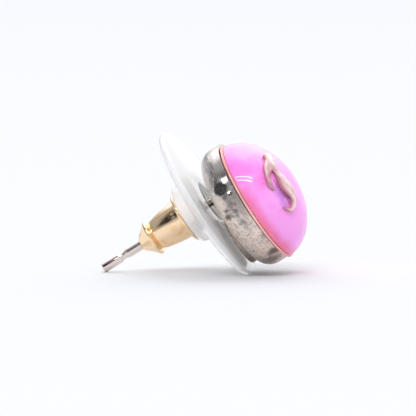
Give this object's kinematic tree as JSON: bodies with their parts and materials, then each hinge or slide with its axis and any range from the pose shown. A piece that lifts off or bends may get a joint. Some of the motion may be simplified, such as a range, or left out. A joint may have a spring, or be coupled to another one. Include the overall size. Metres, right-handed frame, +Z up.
{
  "type": "button stud earring with disc clutch",
  "caption": "Stud earring with a pink glass cabochon and raised trail on a worn metal back, its gold bullet clutch with a clear disc pushed up the post.",
  "frame": {"origin": "centre of the lying stud's bounding box, at the height of the surface that it rests on", "axes": "+X runs along the surface from the post's tip to the button, the post rises in the X-Z plane at 31.9 degrees, and +Z is up"},
  "size_m": [0.015, 0.012, 0.0102],
  "materials": {
    "pink_glass": "polished",
    "beige_glass": "polished",
    "copper": "satin",
    "white_metal": "tarnished",
    "clear_plastic": "clear",
    "gold_plate": "polished"
  },
  "bodies": {
    "stud": {"glass_dome": "pink_glass", "glass_trail": "beige_glass", "backing_disc": "copper", "metal_back": "white_metal"},
    "clutch": {"clutch_disc": "clear_plastic", "clutch_barrel": "gold_plate"}
  },
  "joints": [
    {"name": "clutch_slide", "type": "slide", "parent": "stud", "child": "clutch", "axis": [0.8488, 0, 0.5287], "range_m": [-0.0094, 0.00015]}
  ]
}
